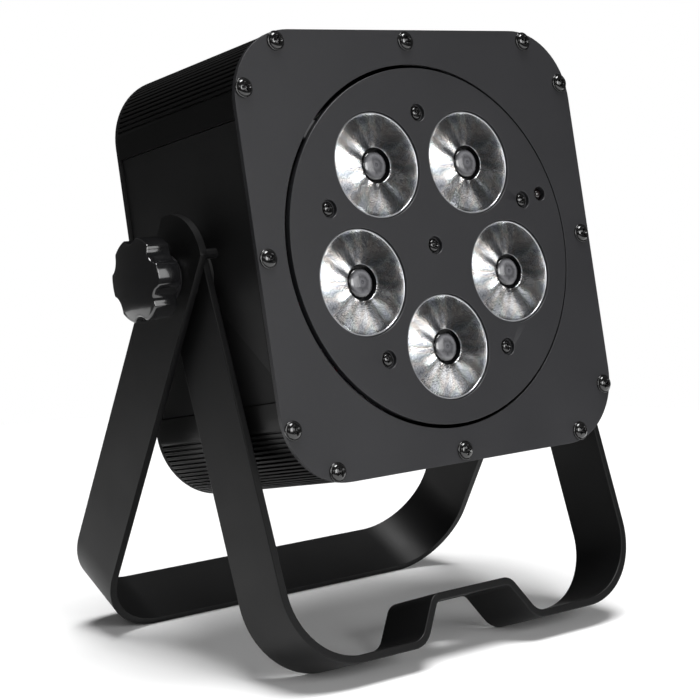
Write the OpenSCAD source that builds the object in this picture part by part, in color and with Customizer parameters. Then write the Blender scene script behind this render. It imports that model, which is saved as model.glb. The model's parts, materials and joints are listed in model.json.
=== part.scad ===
// Flat LED par can in a double bracket floor stand, millimetres, +Z up, front towards -Y.
// The origin is on the floor, under the middle of the whole light.

/* [Head] */
// Width and height of the square front plate
plate_size = 180; // [176:1:186]
// Corner radius of the front plate
plate_corner_r = 30; // [26:1:34]
// Depth of the head over its front plate and rear panel
head_depth = 90; // [86:1:110]
// Thickness of the front plate and of the rear panel
sheet_t = 2; // [1.5:0.5:3]
// How far the front plate stands out past the shells
plate_overhang = 0.5; // [0:0.1:1]
// Height of the seams between shells and side panels, above and below the middle
seam_z = 55; // [50:1:58]
// Height at which the ribs start, above and below the middle
rib_start_z = 65.4; // [64:0.2:68]
// Distance from rib to rib
rib_pitch = 2.2; // [1.8:0.1:3]
// Wall thickness of the extruded shells
shell_wall = 2; // [1.8:0.1:3]
// How far the side panels lie below the shells
side_recess = 1; // [0.6:0.1:1.4]

/* [Lens disc] */
// Diameter of the round opening in the front plate
opening_d = 151; // [149:1:153]
// Sideways place of that opening: the disc sits a little to the right in it
opening_x = -0.5; // [-0.7:0.1:0]
// Diameter of the lens disc inside that opening
disc_d = 148; // [146:0.5:148.4]
// Thickness of the lens disc
disc_t = 3; // [2.5:0.5:4]
// How far the lens disc stands in front of the front plate
disc_proud = 0.5; // [0:0.1:1]
// Turn of the lens disc in the opening, in degrees
disc_turn = -0.8; // [-3:0.1:3]
// Radius of the ring on which the lenses lie
lens_ring_r = 42.1; // [42:0.1:43]
// Diameter of the visible part of each lens
lens_d = 44; // [40:0.5:45]
// Radius of the ring of small disc screws
disc_screw_ring_r = 55.3; // [54:0.1:57]

/* [Stand] */
// Height of the tilt axis above the floor
pivot_z = 160.1; // [155:0.1:170]
// Tilt of the head, front face up
head_tilt = 11.3; // [0:0.1:20]
// Forward lean of the front bracket
front_lean = 20.2; // [10:0.1:22]
// Backward lean of the rear bracket
rear_lean = 27.7; // [20:0.1:30]
// Width of the flat bar of both brackets
strap_w = 30; // [28:1:32]
// Thickness of the flat bar of both brackets
strap_t = 3.2; // [2.5:0.1:3.2]
// Outer half width of the front bracket
front_half = 94.9; // [94.9:0.1:95.5]
// Distance from the tilt axis to the underside of the front bracket's foot
front_drop = 165.1; // [160:0.1:170]
// Outer half width of the rear bracket
rear_half = 101.5; // [101.5:0.1:103]
// Distance from the tilt axis to the underside of the rear bracket's foot
rear_drop = 173.1; // [171:0.1:180]
// Outer radius of the large bends of both brackets
bend_r = 32.4; // [25:0.1:40]
// Height of the raised step in the front bracket's foot
step_h = 16.8; // [10:0.1:20]
// Diameter of the clamp bolt hole in the step
clamp_hole_d = 10.5; // [8:0.5:13]

/* [Knobs] */
// Diameter of the star knobs over their lobes
knob_d = 34; // [30:1:38]
// Thickness of the lobed part of the star knobs
knob_t = 10.5; // [9:0.5:13]
// Diameter of the threaded studs
stud_d = 8; // [8:0.1:8]

/* [Hidden] */
$fn = 64;
seam_gap = 0.2;
shell_size = plate_size - 2 * plate_overhang;
shell_half = shell_size / 2;
shell_corner_r = plate_corner_r - 1;
shell_depth = head_depth - 2 * sheet_t;
front_y = -head_depth / 2;
plate_back_y = front_y + sheet_t;
panel_y = head_depth / 2 - sheet_t;
rear_y = head_depth / 2;
pivot_rise = 0.3;
side_x = shell_half - side_recess;
side_back_x = shell_half - shell_wall - 1.6;

// Stand seen from the side: the origin lies midway between the two foot bars' ends
front_reach = front_drop * sin(front_lean) + strap_w / 2 * cos(front_lean);
rear_reach = rear_drop * sin(rear_lean) + strap_w / 2 * cos(rear_lean);
pivot_y = (front_reach - rear_reach) / 2;

// Perimeter screws
screw_edge = 4.7;
screw_spread = 66.8;
screw_hole_d = 4.4;
pilot_d = 3.9;
boss_d = 7.4;
pan_d = 8;
pan_h = 2.4;
rear_pan_d = 6.4;
rear_pan_h = 1.2;

// Optics, from the disc back to the heat sink
disc_y = front_y - disc_proud;
disc_back_y = disc_y + disc_t;
lens_h = 17.5;
lens_flange_r = 23.4;
lens_well_r = 7.4;
lens_dome_r = 6.4;
holder_r = 24.5;
lens_end_y = disc_back_y + lens_h;
board_y = -21;
board_t = 1.6;
board_r = 68;
sink_y = board_y + board_t;
sink_base_t = 4;
fin_h = 19;
fin_t = 1.6;
fin_pitch = 9;
small_pan_d = 6;
counterbore_d = 7.4;
counterbore_h = 1.9;
standoff_d = 7;
ir_spot = [63.1, 19.4];

// Rear fittings
display_spot = [0, 46];
display_w = 46;
display_h = 20;
button_z = 24;
button_pitch = 18;
button_d = 7.6;
button_travel = 0.8;
dmx_spots = [[-30, -10], [30, -10]];
dmx_hole_d = 24;
dmx_flange = [26, 31];
inlet_spot = [-34, -54];
inlet_body = [30, 32];
inlet_flange = [50, 36];
drawer_size = [25, 8];
drawer_travel = 12;
eye_z = 74;
eye_r = 10;
eye_rod_d = 5;
flange_t = 1.5;
control_y = 33;
power_y = 20;

// Pivot stack, from the side panel outwards
bore_d = stud_d + 0.1;
liner_t = 3;
washer_gap = 0.2;
plate_washer_t = 1.5;
knob_washer_x = rear_half + washer_gap;
knob_x = knob_washer_x + plate_washer_t + 0.1;
knob_neck_t = 4;
knob_neck_d = 15;
lobes = 6;
stud_in = 9.5;
ear_r = 20.3;
ear_rise = 5.4;
stop_pin_d = 4;
stop_pin_spot = [-11.9, 17.6];

// ---------- places and helpers ----------

// Head coordinates: the middle of the head, front towards -Y
module in_head() {
    translate([0, pivot_y, pivot_z])
        rotate([-head_tilt, 0, 0])
            translate([0, 0, -pivot_rise])
                children();
}

// Bracket coordinates: the tilt axis is X, the foot points down
module in_front_bracket() {
    translate([0, pivot_y, pivot_z])
        rotate([-front_lean, 0, 0])
            children();
}

module in_rear_bracket() {
    translate([0, pivot_y, pivot_z])
        rotate([rear_lean, 0, 0])
            children();
}

// Turns a shape built along +Z so that it points out along +X (side 1) or -X (side -1)
module outwards(side) {
    rotate([0, side * 90, 0])
        children();
}

// An outline drawn in X and Z, made solid from y to y + depth
module slab(y, depth) {
    translate([0, y + depth, 0])
        rotate([90, 0, 0])
            linear_extrude(depth)
                children();
}

// A shape built along +Z, turned to point out of the front or out of the rear
module facing_front(y) {
    translate([0, y, 0])
        rotate([90, 0, 0])
            children();
}

module facing_rear(y) {
    translate([0, y, 0])
        rotate([-90, 0, 0])
            children();
}

module rounded_box(w, h, r) {
    square([w, h - 2 * r], center = true);
    square([w - 2 * r, h], center = true);
    for (x = [-1, 1], y = [-1, 1])
        translate([x * (w / 2 - r), y * (h / 2 - r)])
            circle(r);
}

module ring(outer_d, inner_d, h) {
    difference() {
        cylinder(d = outer_d, h = h);
        translate([0, 0, -1])
            cylinder(d = inner_d, h = h + 2);
    }
}

// The twelve perimeter screw places, as outline positions
module at_edge_screws() {
    for (turn = [0 : 3])
        rotate(90 * turn)
            for (x = [-screw_spread, 0, screw_spread])
                translate([x, plate_size / 2 - screw_edge])
                    children();
}

// The ring and centre places of the lens disc, as outline positions
module at_lens(number) {
    rotate(disc_turn + 126 - 72 * (number - 1))
        translate([lens_ring_r, 0])
            children();
}

module at_disc_screws() {
    rotate(disc_turn)
        union() {
            children();
            for (n = [0 : 4])
                rotate(18 + 72 * n)
                    translate([disc_screw_ring_r, 0])
                        children();
        }
}

// Pan head screw with a rim and a cross recess, its head above z = 0
module pan_screw(d, h, shank_d, shank_l) {
    dome_d = d * 0.88;
    rise = h * 0.8;
    dome_r = (dome_d * dome_d / 4 + rise * rise) / (2 * rise);
    arm_l = d * 0.54;
    arm_w = d * 0.14;
    difference() {
        union() {
            cylinder(d = d, h = h * 0.3);
            intersection() {
                translate([0, 0, h - dome_r])
                    sphere(dome_r);
                cylinder(d = dome_d, h = h);
            }
            translate([0, 0, -shank_l])
                cylinder(d = shank_d, h = shank_l);
        }
        intersection() {
            translate([0, 0, h * 0.25])
                cylinder(d1 = arm_l * 0.5, d2 = arm_l * 1.1, h = h);
            union() {
                translate([-arm_l, -arm_w / 2, 0])
                    cube([2 * arm_l, arm_w, 2 * h]);
                translate([-arm_w / 2, -arm_l, 0])
                    cube([arm_w, 2 * arm_l, 2 * h]);
            }
        }
    }
}

// ---------- front ----------

module front_plate() {
    color("#3a3a3d")
        in_head()
            slab(front_y, sheet_t)
                difference() {
                    rounded_box(plate_size, plate_size, plate_corner_r);
                    translate([opening_x, 0])
                        circle(d = opening_d);
                    at_edge_screws()
                        circle(d = screw_hole_d);
                }
}

module plate_screws() {
    color("#101010")
        in_head()
            facing_front(front_y)
                at_edge_screws()
                    rotate(25)
                        pan_screw(pan_d, pan_h, pilot_d - 0.1, 10);
}

module lens_disc() {
    color("#3a3a3d")
        in_head()
            difference() {
                slab(disc_y, disc_t)
                    difference() {
                        circle(d = disc_d);
                        for (n = [1 : 5])
                            at_lens(n)
                                circle(d = lens_d);
                        at_disc_screws()
                            circle(d = 3.2);
                        rotate(disc_turn)
                            translate(ir_spot)
                                circle(d = 6.2);
                    }
                slab(disc_y - 1, 1 + counterbore_h)
                    at_disc_screws()
                        circle(d = counterbore_d);
            }
}

module disc_screws() {
    color("#101010")
        in_head()
            facing_front(disc_y + counterbore_h)
                at_disc_screws()
                    rotate(15)
                        pan_screw(small_pan_d, 1.9, 2.8, 9);
}

module disc_tabs() {
    tab_w = 9;
    color("#77777a")
        in_head()
            for (a = [137, 317])
                rotate([0, -a, 0]) {
                    translate([68.5, disc_back_y, -tab_w / 2])
                        cube([14.5, sheet_t, tab_w]);
                    translate([78.5, plate_back_y, -tab_w / 2])
                        cube([4.5, disc_back_y - plate_back_y + 1, tab_w]);
                }
}

// Flat faced lens with a dome in its round well; z = 0 is the end near the emitter
module lens_shape() {
    face_z = lens_h + disc_t - 0.8;
    face_r = lens_d / 2 - 0.2;
    rim_z = lens_h - 1.6;
    foot_r = 8;
    well_z = face_z - 5;
    dome_edge_z = face_z - 1.6;
    crown_h = 1.3;
    steps = 8;
    rotate_extrude()
        polygon(concat(
            [[0, 1.5], [4.2, 1.5], [5, 0], [foot_r, 0]],
            [for (k = [1 : steps]) [foot_r + (lens_d / 2 - foot_r) * sin(k * 90 / steps), rim_z * k / steps]],
            [[lens_flange_r, rim_z], [lens_flange_r, lens_h], [face_r, lens_h], [face_r, face_z]],
            [[lens_well_r, face_z], [lens_well_r, well_z], [lens_dome_r, well_z]],
            [for (k = [0 : steps]) [lens_dome_r * cos(k * 90 / steps), dome_edge_z + crown_h * sin(k * 90 / steps)]]
        ));
}

module lens(number) {
    color("#d8dadd")
        in_head()
            facing_front(lens_end_y)
                at_lens(number)
                    lens_shape();
}

module lens_holder(number) {
    holder_h = board_y - disc_back_y;
    base_h = board_y - lens_end_y;
    color("#1c1c1e")
        in_head()
            facing_front(board_y)
                at_lens(number)
                    difference() {
                        cylinder(r = holder_r, h = holder_h - 0.1);
                        translate([0, 0, base_h])
                            cylinder(r = lens_flange_r + 0.1, h = holder_h);
                        translate([0, 0, -1])
                            cylinder(r = 6, h = holder_h);
                    }
}

module led_emitters() {
    color("#e8e4c8")
        in_head()
            facing_front(board_y)
                for (n = [1 : 5])
                    at_lens(n) {
                        translate([-3.5, -3.5, 0])
                            cube([7, 7, 1.2]);
                        translate([0, 0, 0.6])
                            cylinder(r = 2.4, h = 1.2);
                        intersection() {
                            translate([0, 0, 1.2])
                                sphere(2.4);
                            cylinder(r = 3, h = 5);
                        }
                    }
}

module led_board() {
    color("#e9e9e6")
        in_head()
            slab(board_y, board_t)
                difference() {
                    circle(board_r);
                    at_disc_screws()
                        circle(d = 3.2);
                }
}

module heat_sink() {
    color("#b9bcc0")
        in_head() {
            slab(sink_y, sink_base_t)
                circle(board_r);
            slab(sink_y + sink_base_t - 0.01, fin_h)
                intersection() {
                    circle(board_r - 2);
                    for (k = [-7 : 7])
                        translate([k * fin_pitch - fin_t / 2, -board_r])
                            square([fin_t, 2 * board_r]);
                }
        }
}

module standoffs() {
    color("#c9b26a")
        in_head()
            slab(disc_back_y, board_y - disc_back_y)
                at_disc_screws()
                    difference() {
                        circle(d = standoff_d);
                        circle(d = 3);
                    }
}

module ir_receiver() {
    color("#1a0d0d")
        in_head()
            facing_front(disc_back_y)
                rotate(disc_turn)
                    translate(ir_spot) {
                        translate([-3.5, -3.5, -4])
                            cube([7, 7, 3.9]);
                        translate([0, 0, -0.5])
                            cylinder(d = 4.6, h = 0.8);
                        translate([0, 0, 0.2])
                            sphere(2.2);
                    }
}

// Two leads round the rim of the lens disc, with their ends turned back to the power board
module led_wires() {
    wire_d = 2;
    ring_r = 70.5;
    start = 140;
    sweep = 25;
    depth = power_y - plate_back_y - 2;
    for (k = [0, 1])
        color(k == 0 ? "#a02020" : "#dcdcdc")
            in_head()
                facing_rear(plate_back_y + 2 + 3 * k) {
                    rotate([0, 0, start])
                        rotate_extrude(angle = sweep)
                            translate([ring_r + 2.3 * k, 0])
                                circle(d = wire_d);
                    for (a = [start, start + sweep])
                        rotate([0, 0, a])
                            translate([ring_r + 2.3 * k, 0, 0]) {
                                sphere(d = wire_d + 0.1);
                                cylinder(d = wire_d, h = depth - 3 * k);
                            }
                }
}

// ---------- shells and panels ----------

// Outline of one ribbed shell, above the upper seam
module shell_outline() {
    corner = shell_half - shell_corner_r;
    rib_depth = 0.9;
    groove_w = 1.0;
    step = rib_pitch / shell_corner_r * 180 / PI;
    start = asin((rib_start_z - corner) / shell_corner_r) + step / 2;
    count = floor(corner / rib_pitch);
    difference() {
        union() {
            difference() {
                rounded_box(shell_size, shell_size, shell_corner_r);
                rounded_box(shell_size - 2 * shell_wall, shell_size - 2 * shell_wall, shell_corner_r - shell_wall);
            }
            intersection() {
                rounded_box(shell_size - 0.8, shell_size - 0.8, shell_corner_r - 0.4);
                at_edge_screws()
                    circle(d = boss_d);
            }
        }
        at_edge_screws()
            circle(d = pilot_d);
        translate([-shell_size, seam_z + seam_gap - 2 * shell_size])
            square([2 * shell_size, 2 * shell_size]);
        for (k = [-count : count])
            translate([k * rib_pitch - groove_w / 2, shell_half - rib_depth])
                square([groove_w, 2 * rib_depth]);
        for (side = [0, 1])
            mirror([side, 0])
                for (a = [start : step : 89])
                    translate([corner, corner])
                        rotate(a)
                            translate([shell_corner_r - rib_depth, -groove_w / 2])
                                square([2 * rib_depth, groove_w]);
    }
}

module top_shell() {
    color("#161616")
        in_head()
            slab(plate_back_y, shell_depth)
                shell_outline();
}

module bottom_shell() {
    color("#161616")
        in_head()
            slab(plate_back_y, shell_depth)
                mirror([0, 1])
                    shell_outline();
}

module side_panel(side) {
    panel_t = 2;
    tongue_t = 1.5;
    tongue_z = 61;
    boss_l = 14;
    lip_l = 44;
    color("#1b1b1c")
        in_head()
            difference() {
                union() {
                    mirror([side < 0 ? 1 : 0, 0, 0]) {
                        slab(plate_back_y, shell_depth) {
                            translate([side_x - panel_t, -seam_z])
                                square([panel_t, 2 * seam_z]);
                            translate([side_back_x, -tongue_z])
                                square([tongue_t, 2 * tongue_z]);
                        }
                        for (y = [plate_back_y, panel_y - boss_l])
                            slab(y, boss_l)
                                intersection() {
                                    translate([plate_size / 2 - screw_edge, 0])
                                        circle(d = boss_d);
                                    translate([0, -boss_d])
                                        square([side_x, 2 * boss_d]);
                                }
                        translate([side_x - 0.5, plate_back_y, -lip_l])
                            cube([side_recess + 0.2, 2, 2 * lip_l]);
                    }
                }
                for (y = [plate_back_y - 1, panel_y - boss_l - 0.5])
                    slab(y, boss_l + 1.5)
                        translate([side * (plate_size / 2 - screw_edge), 0])
                            circle(d = pilot_d);
                translate([side * (side_x - 10), 0, pivot_rise])
                    outwards(side)
                        cylinder(d = stud_d + 1, h = 20);
            }
}

module side_panel_left() {
    side_panel(-1);
}

module side_panel_right() {
    side_panel(1);
}

module vent_slots() {
    slot_l = 26;
    slot_w = 3;
    for (side = [-1, 1], k = [0 : 9])
        translate([side * 64, -26 + 8 * k])
            square([slot_l, slot_w], center = true);
}

module rear_panel() {
    color("#1a1a1b")
        in_head()
            slab(panel_y, sheet_t)
                difference() {
                    rounded_box(shell_size, shell_size, shell_corner_r);
                    at_edge_screws()
                        circle(d = screw_hole_d);
                    vent_slots();
                    translate(display_spot)
                        square([display_w - 3, display_h - 3], center = true);
                    for (k = [-1.5 : 1.5])
                        translate([k * button_pitch, button_z])
                            circle(d = button_d + 0.8);
                    for (spot = dmx_spots)
                        translate(spot)
                            circle(d = dmx_hole_d);
                    translate(inlet_spot)
                        square([inlet_body[0] + 0.4, inlet_body[1] + 0.4], center = true);
                    at_fitting_screws()
                        circle(d = 2.8);
                }
}

module rear_screws() {
    color("#101010")
        in_head()
            facing_rear(rear_y)
                at_edge_screws()
                    pan_screw(rear_pan_d, rear_pan_h, pilot_d - 0.1, 10);
}

// Screw places of the rear fittings: data sockets, power inlet and safety eye
module at_fitting_screws() {
    for (spot = dmx_spots)
        for (s = [-1, 1])
            translate([spot[0] - s * 9.5, spot[1] + s * 12])
                children();
    for (s = [-1, 1])
        translate([inlet_spot[0] + s * 20, inlet_spot[1]])
            children();
    for (s = [-1, 1])
        translate([s * 17, eye_z])
            children();
}

module connector_screws() {
    color("#202020")
        in_head()
            facing_rear(rear_y + flange_t)
                mirror([0, 1, 0])
                    at_fitting_screws()
                        pan_screw(5, 1.8, 2.7, 6);
}

// ---------- electronics ----------

module power_board() {
    color("#1f5a35")
        in_head()
            translate([-80, power_y, -56])
                cube([160, board_t, 64]);
}

module power_transformer() {
    color("#c8a23a")
        in_head() {
            translate([14, power_y - 12, -40])
                cube([26, 12, 22]);
            translate([10, power_y - 9, -37])
                cube([34, 6, 16]);
        }
}

module power_capacitors() {
    color("#2b2f55")
        in_head()
            facing_front(power_y)
                for (x = [-44, -28, -12])
                    translate([x, -30, 0]) {
                        cylinder(d = 12, h = 12);
                        cylinder(d = 10.5, h = 13);
                    }
}

module control_board() {
    color("#1f5a35")
        in_head()
            translate([-42, control_y, 14])
                cube([84, board_t, 46]);
}

module display_module() {
    color("#26262b")
        in_head()
            translate([display_spot[0] - 19, control_y + board_t, display_spot[1] - 8])
                cube([38, 6, 16]);
}

module display_window() {
    color("#3a1414")
        in_head() {
            slab(panel_y - 1, 1)
                translate(display_spot)
                    square([display_w, display_h], center = true);
            slab(panel_y - 0.01, sheet_t - 0.39)
                translate(display_spot)
                    square([display_w - 3.2, display_h - 3.2], center = true);
        }
}

module button_switches() {
    color("#3c3c40")
        in_head()
            for (k = [-1.5 : 1.5]) {
                translate([k * button_pitch - 3, control_y + board_t, button_z - 3])
                    cube([6, 3.6, 6]);
                slab(control_y + board_t + 3.59, 1.4)
                    translate([k * button_pitch, button_z])
                        circle(d = 3.4);
            }
}

module button(number) {
    flange_y = panel_y - 2;
    color("#2a2a2c")
        in_head()
            translate([(number - 2.5) * button_pitch, 0, button_z])
                facing_rear(flange_y) {
                    cylinder(d = button_d + 2.4, h = 1.2);
                    cylinder(d = button_d, h = 5.4);
                    intersection() {
                        translate([0, 0, 6.4 - 15])
                            sphere(15);
                        cylinder(d = button_d, h = 7);
                    }
                }
}

// ---------- data and power sockets ----------

module dmx_body(bore_d, bore_h) {
    body_h = 20;
    facing_rear(rear_y - body_h)
        difference() {
            cylinder(d = dmx_hole_d - 0.4, h = body_h + flange_t);
            translate([0, 0, body_h + flange_t - bore_h])
                cylinder(d = bore_d, h = bore_h + 1);
        }
}

module dmx_flange_plate(hole_d) {
    slab(rear_y, flange_t)
        difference() {
            rounded_box(dmx_flange[0], dmx_flange[1], 3);
            circle(d = hole_d);
            for (s = [-1, 1])
                translate([-s * 9.5, s * 12])
                    circle(d = 3);
        }
}

module dmx_input() {
    color("#2c2c2f")
        in_head()
            translate([dmx_spots[0][0], 0, dmx_spots[0][1]]) {
                dmx_body(19, 15);
                dmx_flange_plate(dmx_hole_d - 0.6);
            }
}

module dmx_input_pins() {
    color("#d7d2b8")
        in_head()
            translate([dmx_spots[0][0], 0, dmx_spots[0][1]])
                facing_rear(rear_y - 20 + 6.5)
                    for (a = [30, 150, 270])
                        rotate([0, 0, a])
                            translate([4.5, 0, 0])
                                cylinder(d = 2.4, h = 12);
}

module dmx_output() {
    insert_h = 16;
    color("#2c2c2f")
        in_head()
            translate([dmx_spots[1][0], 0, dmx_spots[1][1]]) {
                difference() {
                    union() {
                        dmx_body(19, 14);
                        facing_rear(rear_y - insert_h)
                            cylinder(d = 15.6, h = insert_h + 0.8);
                    }
                    facing_rear(rear_y - 12)
                        for (a = [30, 150, 270])
                            rotate([0, 0, a])
                                translate([4.5, 0, 0])
                                    cylinder(d = 2.6, h = 20);
                    translate([-3.2, rear_y - 6, 7.2])
                        cube([6.4, 12, 7]);
                }
                difference() {
                    dmx_flange_plate(dmx_hole_d - 0.6);
                    translate([-3.2, rear_y - 6, 7.2])
                        cube([6.4, 12, 7]);
                }
            }
}

module dmx_latch() {
    color("#8d8f94")
        in_head()
            translate([dmx_spots[1][0], 0, dmx_spots[1][1]]) {
                translate([-2.6, rear_y - 3.6, 9])
                    cube([5.2, 7, 2.4]);
                translate([-1.5, rear_y - 3.6, 7.6])
                    cube([3, 2.4, 2]);
            }
}

module power_inlet() {
    body_h = 20;
    cavity = [24, 16];
    socket_z = -5.5;
    drawer_z = 10;
    color("#232325")
        in_head()
            translate([inlet_spot[0], 0, inlet_spot[1]])
                difference() {
                    union() {
                        slab(rear_y, flange_t)
                            rounded_box(inlet_flange[0], inlet_flange[1], 4);
                        slab(rear_y - body_h, body_h)
                            square(inlet_body, center = true);
                    }
                    slab(rear_y - body_h + 4, body_h)
                        translate([0, socket_z])
                            square(cavity, center = true);
                    slab(rear_y - body_h + 2, body_h + 5)
                        translate([0, drawer_z])
                            square([drawer_size[0] + 0.6, drawer_size[1] + 0.6], center = true);
                    slab(rear_y - 1, 5)
                        for (s = [-1, 1])
                            translate([s * 20, 0])
                                circle(d = 3);
                }
}

module inlet_blades() {
    color("#c9c9c4")
        in_head()
            translate([inlet_spot[0], 0, inlet_spot[1] - 5.5])
                for (place = [[-7, -2], [0, 2], [7, -2]])
                    translate([place[0] - 1, rear_y - 16, place[1] - 2])
                        cube([2, 13, 4]);
}

module fuse_drawer() {
    color("#2e2e31")
        in_head()
            translate([inlet_spot[0], 0, inlet_spot[1] + 10])
                difference() {
                    union() {
                        slab(rear_y - 16, 16)
                            square([drawer_size[0], drawer_size[1]], center = true);
                        slab(rear_y - 0.01, flange_t + 0.8)
                            square([drawer_size[0], drawer_size[1] - 0.6], center = true);
                    }
                    translate([-10.5, rear_y - 13, -2.8])
                        cube([21, 6, 8]);
                }
}

module safety_eye() {
    leg_l = 4;
    color("#9a9ca0")
        in_head()
            translate([0, 0, eye_z]) {
                slab(rear_y, flange_t)
                    difference() {
                        rounded_box(44, 11, 4);
                        for (s = [-1, 1])
                            translate([s * 17, 0])
                                circle(d = 3);
                    }
                translate([0, rear_y + leg_l, 0]) {
                    rotate_extrude(angle = 180)
                        translate([eye_r, 0])
                            circle(d = eye_rod_d);
                    for (s = [-1, 1])
                        translate([s * eye_r, 0, 0])
                            rotate([90, 0, 0])
                                cylinder(d = eye_rod_d, h = leg_l - flange_t + 0.5);
                }
            }
}

// ---------- pivot and stand ----------

module pivot_nut(side) {
    color("#b4b6b8")
        in_head()
            translate([side * side_back_x, 0, pivot_rise])
                outwards(-side)
                    difference() {
                        union() {
                            cylinder(d = 20, h = 1.5);
                            cylinder(d = 13, h = 9);
                        }
                        translate([0, 0, -1])
                            cylinder(d = bore_d, h = 20);
                    }
}

module pivot_nut_left() {
    pivot_nut(-1);
}

module pivot_nut_right() {
    pivot_nut(1);
}

module liner_washers() {
    color("#0e0e0e")
        in_head()
            for (side = [-1, 1])
                translate([side * side_x, 0, pivot_rise])
                    outwards(side)
                        ring(24, bore_d + 0.6, liner_t);
}

module spacer_washers() {
    spacer_t = rear_half - strap_t - front_half - washer_gap;
    color("#0e0e0e")
        in_front_bracket()
            for (side = [-1, 1])
                translate([side * front_half, 0, 0])
                    outwards(side)
                        ring(22, bore_d + 0.6, spacer_t);
}

// The hollow of a U shaped bracket, open at the top, with round lower corners
module u_outline(half, drop, r) {
    top = 60;
    translate([-half, -drop + r])
        square([2 * half, drop - r + top]);
    translate([-half + r, -drop])
        square([2 * (half - r), drop]);
    for (side = [-1, 1])
        translate([side * (half - r), -drop + r])
            circle(r);
}

// The raised step of the foot: sloping sides, round top corners and flared lower ends
module step_outline(low_x, base_z, flare_r, corner_r) {
    slope = 57.5;
    high_x = low_x - step_h / tan(slope);
    high_z = base_z + step_h;
    flare_run = flare_r * tan(slope / 2);
    corner_run = corner_r * tan(slope / 2);
    difference() {
        union() {
            for (side = [0, 1])
                mirror([side, 0]) {
                    polygon([
                        [-0.1, base_z - 5],
                        [low_x + flare_run, base_z - 5],
                        [low_x + flare_run, base_z],
                        [low_x - flare_run * cos(slope), base_z + flare_run * sin(slope)],
                        [high_x + corner_run * cos(slope), high_z - corner_run * sin(slope)],
                        [high_x - corner_run, high_z],
                        [-0.1, high_z]
                    ]);
                    translate([high_x - corner_run, high_z - corner_r])
                        circle(corner_r);
                }
        }
        for (side = [-1, 1])
            translate([side * (low_x + flare_run), base_z + flare_r])
                circle(flare_r);
    }
}

// Cuts the strap from a wide bent bar: straight edges, and legs ending above the pivot
module strap_edges(reach) {
    translate([-reach, 0, 0])
        rotate([90, 0, 90])
            linear_extrude(2 * reach)
                children();
}

module strap_blank() {
    slab(-strap_w, 2 * strap_w)
        children();
}

module pivot_holes(half) {
    for (side = [-1, 1])
        translate([side * (half - 10), 0, 0])
            outwards(side)
                cylinder(d = bore_d, h = 20);
}

module front_bracket() {
    foot_r = 9;
    top_r = 5;
    mid_x = 31.4;
    shift = strap_t / 2 * tan(57.5 / 2);
    color("#1d1d1e")
        in_front_bracket()
            difference() {
                intersection() {
                    strap_blank()
                        difference() {
                            u_outline(front_half, front_drop, bend_r);
                            step_outline(mid_x - shift, -front_drop, foot_r + strap_t / 2, top_r - strap_t / 2);
                            difference() {
                                u_outline(front_half - strap_t, front_drop - strap_t, bend_r - strap_t);
                                step_outline(mid_x + shift, -front_drop + strap_t, foot_r - strap_t / 2,
                                    top_r + strap_t / 2);
                            }
                        }
                    strap_edges(front_half + 10)
                        union() {
                            translate([-strap_w / 2, -front_drop - 10])
                                square([strap_w, front_drop + 10]);
                            circle(strap_w / 2);
                        }
                }
                pivot_holes(front_half);
                translate([0, 0, -front_drop + step_h - 10])
                    cylinder(d = clamp_hole_d, h = 20);
            }
}

module rear_bracket() {
    color("#1d1d1e")
        in_rear_bracket()
            difference() {
                intersection() {
                    strap_blank()
                        difference() {
                            u_outline(rear_half, rear_drop, bend_r);
                            u_outline(rear_half - strap_t, rear_drop - strap_t, bend_r - strap_t);
                        }
                    strap_edges(rear_half + 10)
                        intersection() {
                            translate([-strap_w / 2, -rear_drop - 10])
                                square([strap_w, rear_drop + 10 + 2 * ear_r]);
                            union() {
                                translate([0, ear_rise])
                                    circle(ear_r);
                                translate([-2 * ear_r, -rear_drop - 20])
                                    square([4 * ear_r, rear_drop + 20 + ear_rise]);
                            }
                        }
                }
                pivot_holes(rear_half);
                for (side = [-1, 1])
                    translate([side * (rear_half - 10), stop_pin_spot[0], stop_pin_spot[1]])
                        outwards(side)
                            cylinder(d = stop_pin_d, h = 20);
            }
}

module stop_pins() {
    pin_l = 9.3;
    color("#232324")
        in_rear_bracket()
            for (side = [-1, 1])
                translate([side * (rear_half - pin_l), stop_pin_spot[0], stop_pin_spot[1]])
                    outwards(side)
                        cylinder(d = stop_pin_d, h = pin_l);
}

// ---------- knobs ----------

module at_pivot(side, x) {
    in_head()
        translate([side * x, 0, pivot_rise])
            outwards(side)
                children();
}

module knob_washer(side) {
    color("#3a3b3d")
        at_pivot(side, knob_washer_x)
            ring(18, bore_d + 0.2, plate_washer_t);
}

module knob_washer_left() {
    knob_washer(-1);
}

module knob_washer_right() {
    knob_washer(1);
}

module knob(side) {
    flute_r = 5.6;
    flute_ring_r = knob_d / 2 + 3.0;
    dome_h = 2;
    dome_r = (knob_d * knob_d / 4 + dome_h * dome_h) / (2 * dome_h);
    color("#0a0a0b")
        at_pivot(side, knob_x)
            difference() {
                union() {
                    cylinder(d = knob_neck_d, h = knob_neck_t + 1);
                    intersection() {
                        translate([0, 0, knob_neck_t])
                            cylinder(d = knob_d, h = knob_t + dome_h);
                        translate([0, 0, knob_neck_t + knob_t + dome_h - dome_r])
                            sphere(dome_r, $fn = 96);
                    }
                }
                for (k = [0 : lobes - 1])
                    rotate(360 / lobes * (k + 0.5))
                        translate([flute_ring_r, 0, knob_neck_t - 1])
                            cylinder(r = flute_r, h = knob_t + dome_h + 2);
                translate([0, 0, -1])
                    cylinder(d = stud_d, h = 9);
            }
}

module knob_left() {
    knob(-1);
}

module knob_right() {
    knob(1);
}

module stud(side) {
    stud_l = knob_x + 8 - (side_x - stud_in);
    color("#a9abad")
        at_pivot(side, side_x - stud_in)
            cylinder(d = stud_d, h = stud_l);
}

module stud_left() {
    stud(-1);
}

module stud_right() {
    stud(1);
}

// ---------- nodes ----------

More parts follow.
